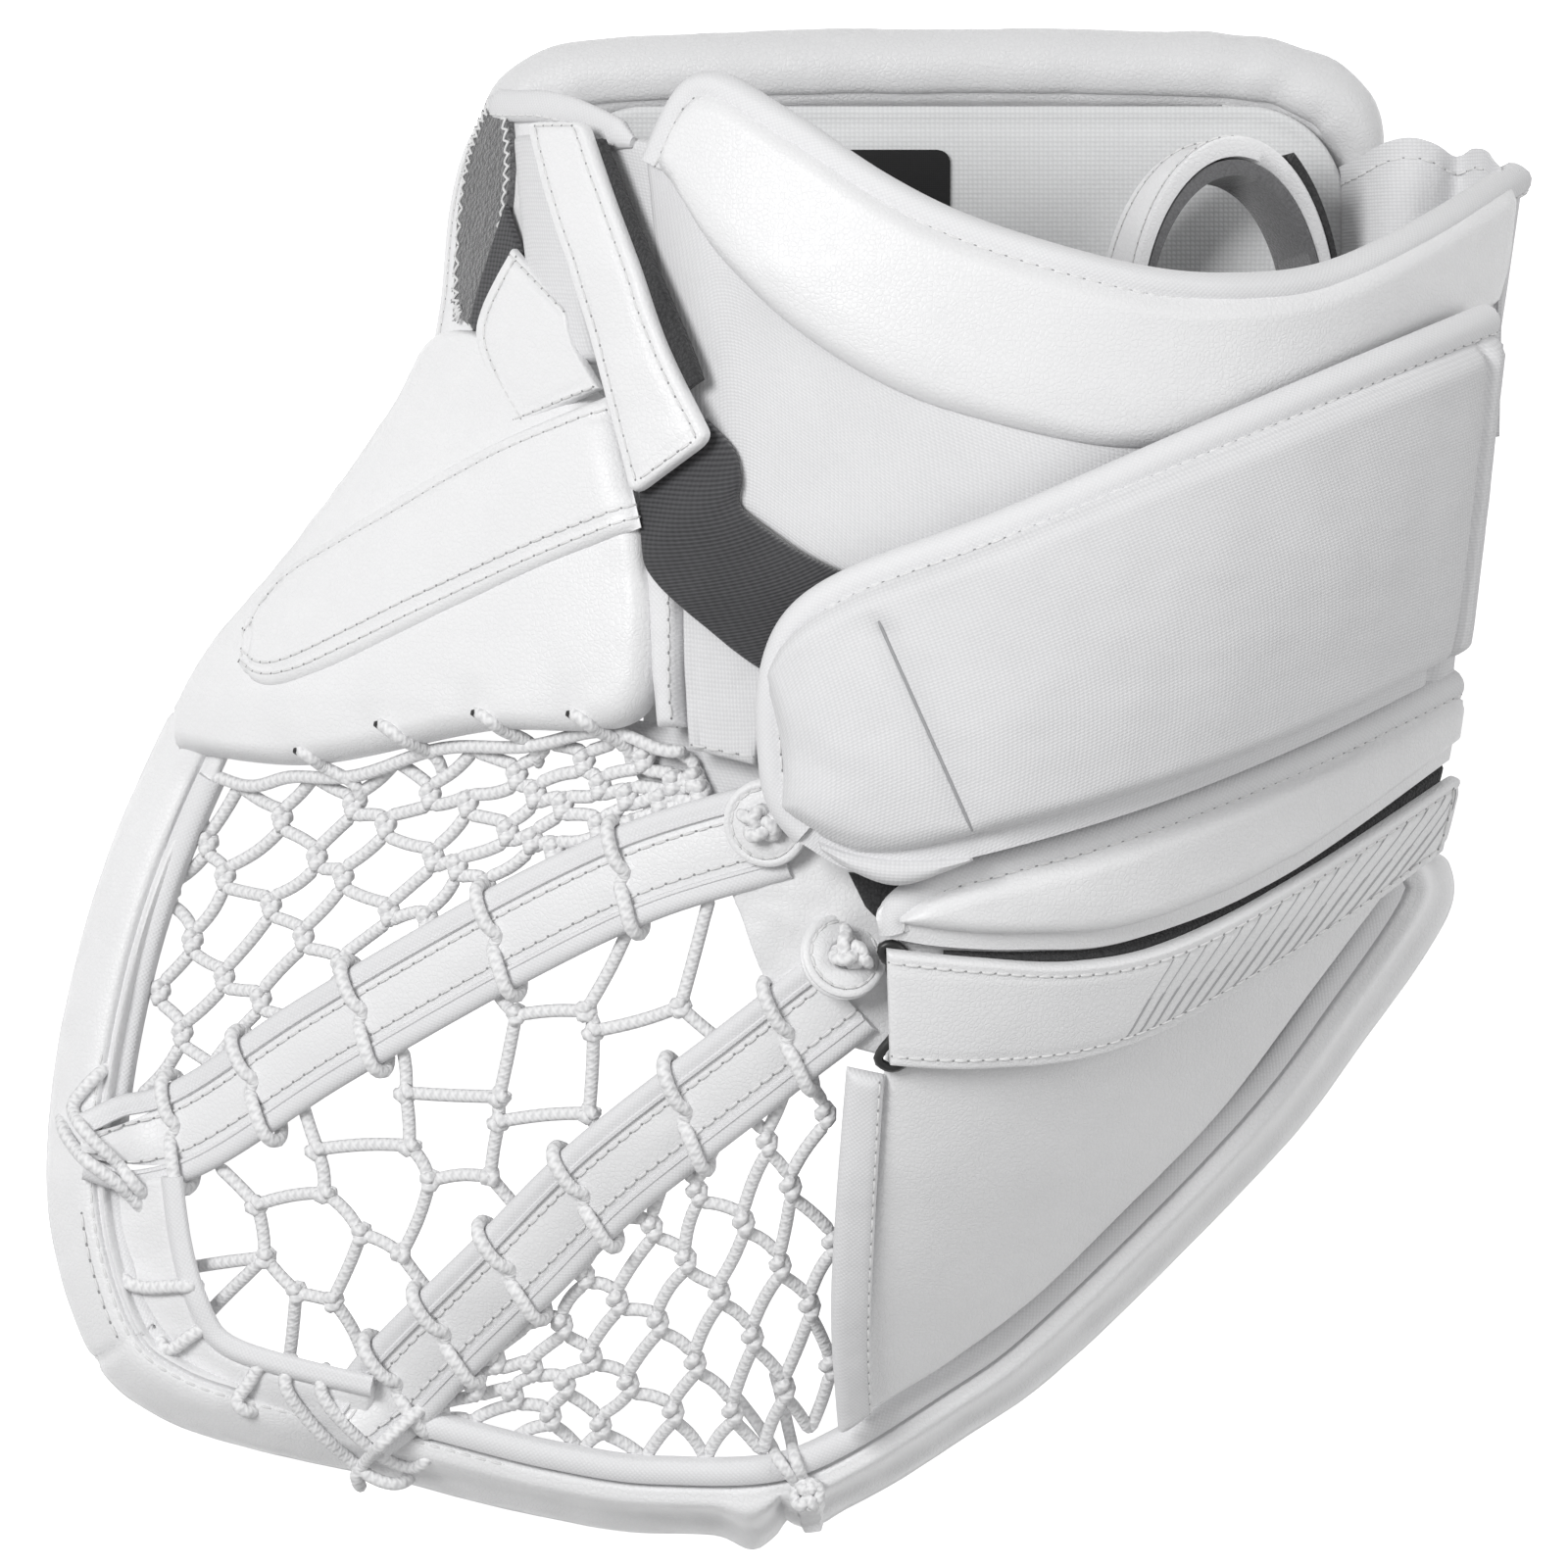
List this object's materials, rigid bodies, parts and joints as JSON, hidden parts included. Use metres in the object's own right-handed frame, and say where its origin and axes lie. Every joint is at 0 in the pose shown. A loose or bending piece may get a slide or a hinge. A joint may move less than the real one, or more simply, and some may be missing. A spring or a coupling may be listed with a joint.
{
  "type": "goalie catch glove",
  "caption": "Padded catching glove with a cuff, thumb and finger panels, a laced net pocket with strap ribs, a wrist strap and a finger strap.",
  "frame": {"origin": "centre of the bounding box's underside, on the plane that the rim and the cuff rest on", "axes": "+Z out of the back of the hand, +Y along the forearm toward the cuff, -X toward the thumb"},
  "size_m": [0.3582, 0.37, 0.153],
  "materials": {
    "leather_white": "grained white synthetic leather",
    "leather_inner": "plain white synthetic leather, inside faces",
    "woven_white": "white woven nylon",
    "binding_white": "white woven binding tape",
    "mesh_liner": "light grey woven mesh",
    "lace_white": "round braided nylon lace",
    "elastic_dark": "dark grey elastic webbing",
    "loop_pile": "dark grey loop pile",
    "hook_tape": "dark hook tape",
    "suede_dark": "dark grey brushed lining",
    "plastic_black": "black moulded plastic",
    "foam_grey": "closed-cell foam, sealed inside",
    "stiffener": "plastic sheet stiffener",
    "label_black": "plain black patch"
  },
  "bodies": {
    "hand": {"palm_cuff": "leather_inner", "cuff_roll": "leather_white", "cuff_liner": "mesh_liner", "size_patch": "label_black", "inner_strap": "leather_white", "inner_strap_lining": "suede_dark", "inner_strap_hook": "hook_tape", "cuff_gusset": "woven_white", "back_cuff": "woven_white", "cuff_band": "leather_white", "cuff_binding": "binding_white", "palm_heel": "leather_inner", "thumb_palm": "leather_inner", "thumb_pad": "leather_white", "thumb_panel": "leather_white", "thumb_stall": "foam_grey", "thumb_stiffener": "stiffener", "thumb_flap": "leather_white", "loop_patch": "loop_pile", "flap_binding": "binding_white", "wrist_pad": "woven_white", "leather_patch": "leather_white", "thumb_binding": "binding_white", "web_panel": "woven_white", "wrist_elastic": "elastic_dark", "rim_thumb": "leather_white", "rim_corner": "leather_white", "t_strap_upper": "leather_white", "washer_upper": "leather_white", "knot_upper": "lace_white", "net_thumb": "lace_white", "net_middle": "lace_white", "thumb_lacing": "lace_white", "upper_lacing": "lace_white"},
    "fingers": {"palm_fingers": "leather_inner", "finger_panel": "leather_white", "finger_binding": "binding_white", "finger_stiffener": "stiffener", "finger_stalls": "foam_grey", "finger_pad": "leather_white", "finger_hook": "hook_tape", "strap_loop": "plastic_black", "rim_fingers": "leather_white", "rim_bottom": "leather_white", "t_strap_lower": "leather_white", "washer_lower": "leather_white", "knot_lower": "lace_white", "net_fingers": "lace_white", "lower_lacing": "lace_white", "corner_tie": "lace_white"},
    "backhand_flap": {"backhand_pad": "woven_white", "backhand_foam": "foam_grey"},
    "wrist_strap_end": {"wrist_tab": "leather_white", "wrist_hook": "hook_tape"},
    "finger_strap_end": {"finger_strap": "leather_white"}
  },
  "joints": [
    {"name": "fingers_close", "type": "hinge", "parent": "hand", "child": "fingers", "pos_m": [0, -0.0284, 0.001], "axis": [0.8285, 0.56, 0], "range_deg": [0, 25]},
    {"name": "backhand_lift", "type": "hinge", "parent": "hand", "child": "backhand_flap", "pos_m": [0.06, -0.016, 0.138], "axis": [0.9397, 0.342, 0], "range_deg": [0, 12]},
    {"name": "wrist_tab_peel", "type": "hinge", "parent": "hand", "child": "wrist_strap_end", "pos_m": [-0.027, 0.0665, 0.118], "axis": [0.9285, 0.3714, 0], "range_deg": [0, 70]},
    {"name": "finger_strap_peel", "type": "hinge", "parent": "fingers", "child": "finger_strap_end", "pos_m": [0.0245, -0.053, 0.118], "axis": [0, -1, 0], "range_deg": [0, 60]}
  ]
}
